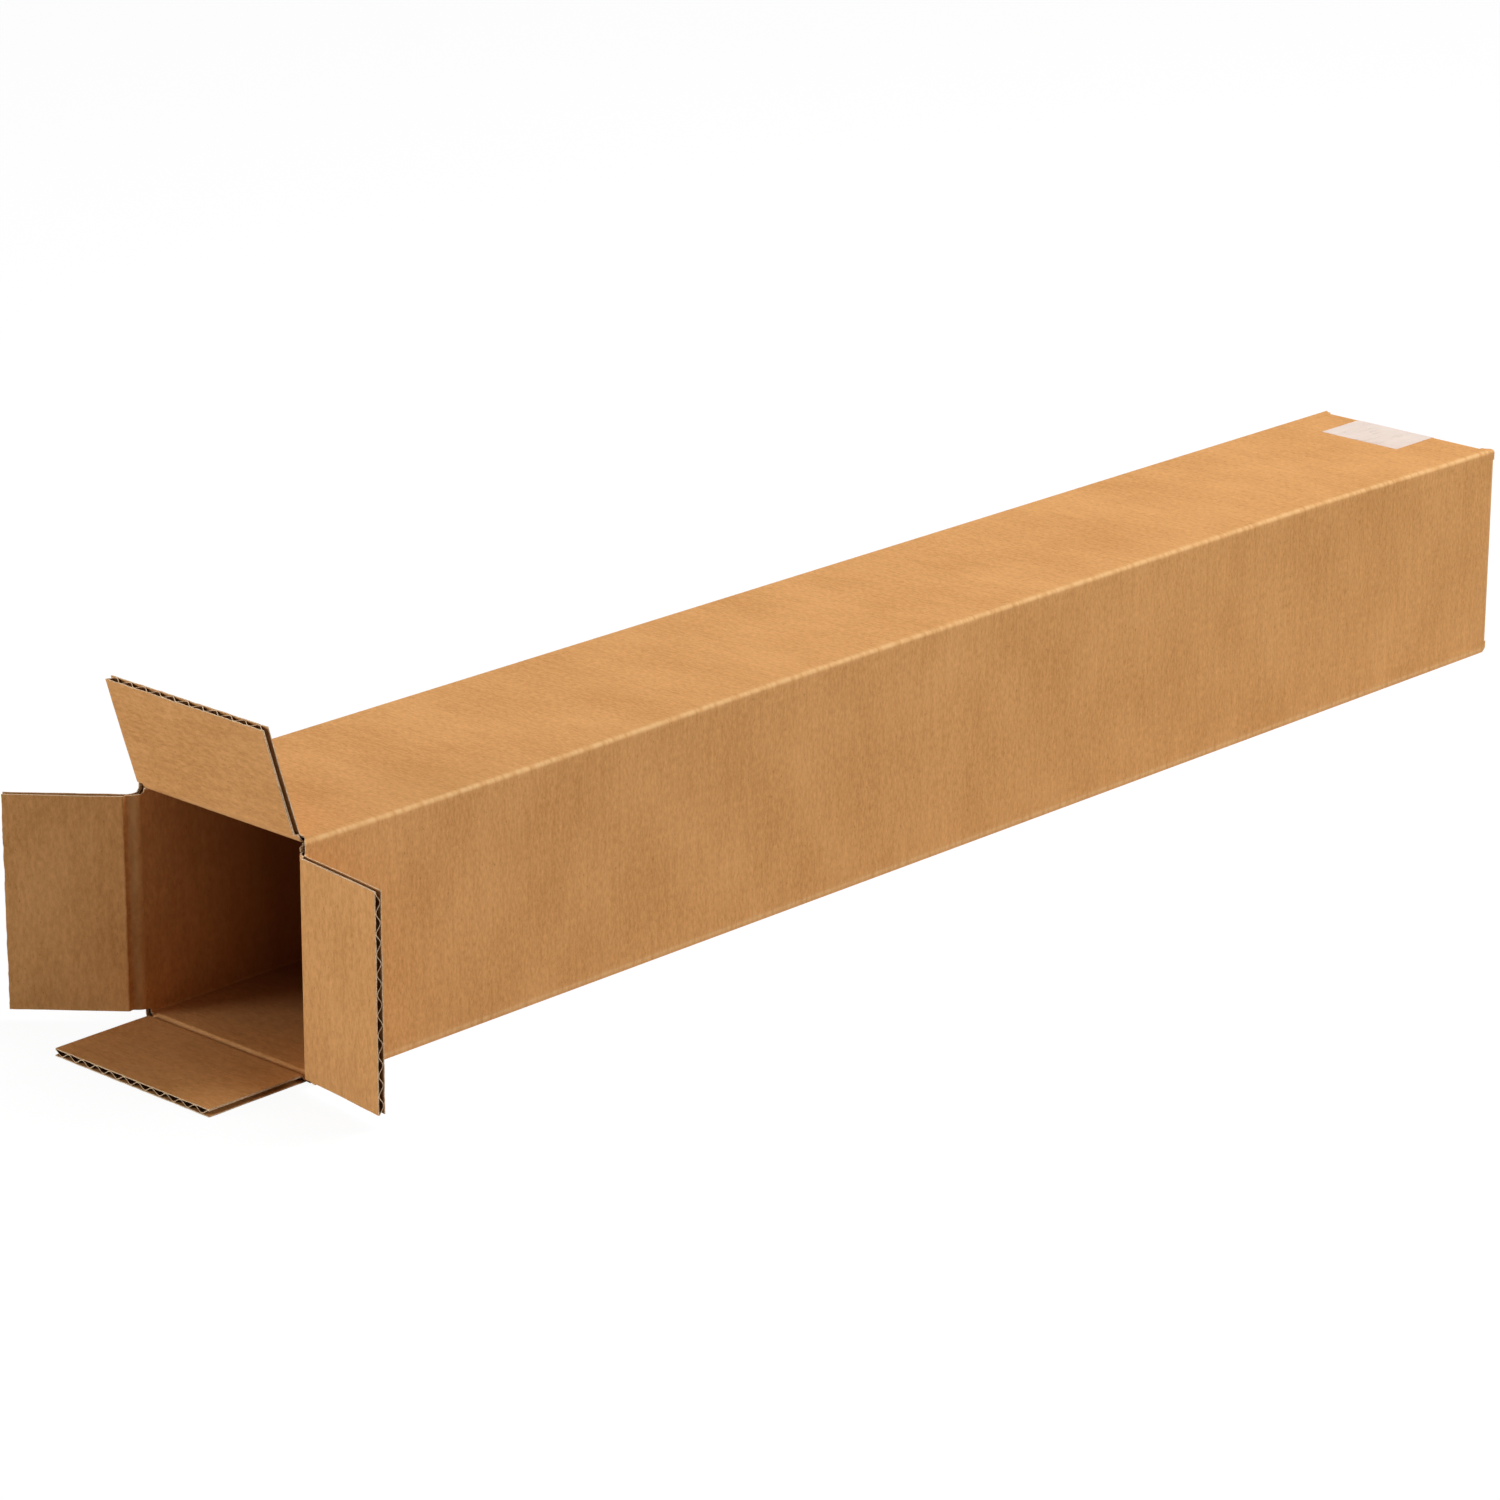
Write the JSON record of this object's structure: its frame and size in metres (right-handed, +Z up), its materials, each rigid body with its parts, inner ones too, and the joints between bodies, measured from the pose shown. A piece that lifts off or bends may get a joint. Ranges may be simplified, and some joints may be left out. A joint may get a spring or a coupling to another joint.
{
  "type": "long corrugated shipping box",
  "caption": "Long square kraft corrugated carton lying on its side, taped shut at one end and open at the other, with hinged end flaps.",
  "frame": {"origin": "middle of the bottom panel's underside, halfway between the creases of the bottom panel", "axes": "+Y along the box towards the taped end, +Z up, +X to the right when looking from the open end into the box"},
  "size_m": [0.2042, 0.8787, 0.1608],
  "materials": {
    "kraft_board": "matte unbleached kraft paper with fine fibres",
    "clear_tape": "thin clear packing tape, slightly hazy and wrinkled"
  },
  "bodies": {
    "carton": {"carton_body": "kraft_board", "sealing_tape": "clear_tape"},
    "top_flap_body": {"top_flap": "kraft_board"},
    "right_flap_body": {"right_flap": "kraft_board"},
    "bottom_flap_body": {"bottom_flap": "kraft_board"},
    "left_flap_body": {"left_flap": "kraft_board"}
  },
  "joints": [
    {"name": "top_flap_crease", "type": "hinge", "parent": "carton", "child": "top_flap_body", "pos_m": [0, -0.4101, 0.1092], "axis": [-1, 0, 0], "range_deg": [-162, 103]},
    {"name": "right_flap_crease", "type": "hinge", "parent": "carton", "child": "right_flap_body", "pos_m": [0.0546, -0.4141, 0.0546], "axis": [0, 0, 1], "range_deg": [-174, 91]},
    {"name": "bottom_flap_crease", "type": "hinge", "parent": "carton", "child": "bottom_flap_body", "pos_m": [0, -0.4101, 0], "axis": [1, 0, 0], "range_deg": [-90, 0]},
    {"name": "left_flap_crease", "type": "hinge", "parent": "carton", "child": "left_flap_body", "pos_m": [-0.0546, -0.4141, 0.0546], "axis": [0, 0, -1], "range_deg": [-139, 126]}
  ]
}
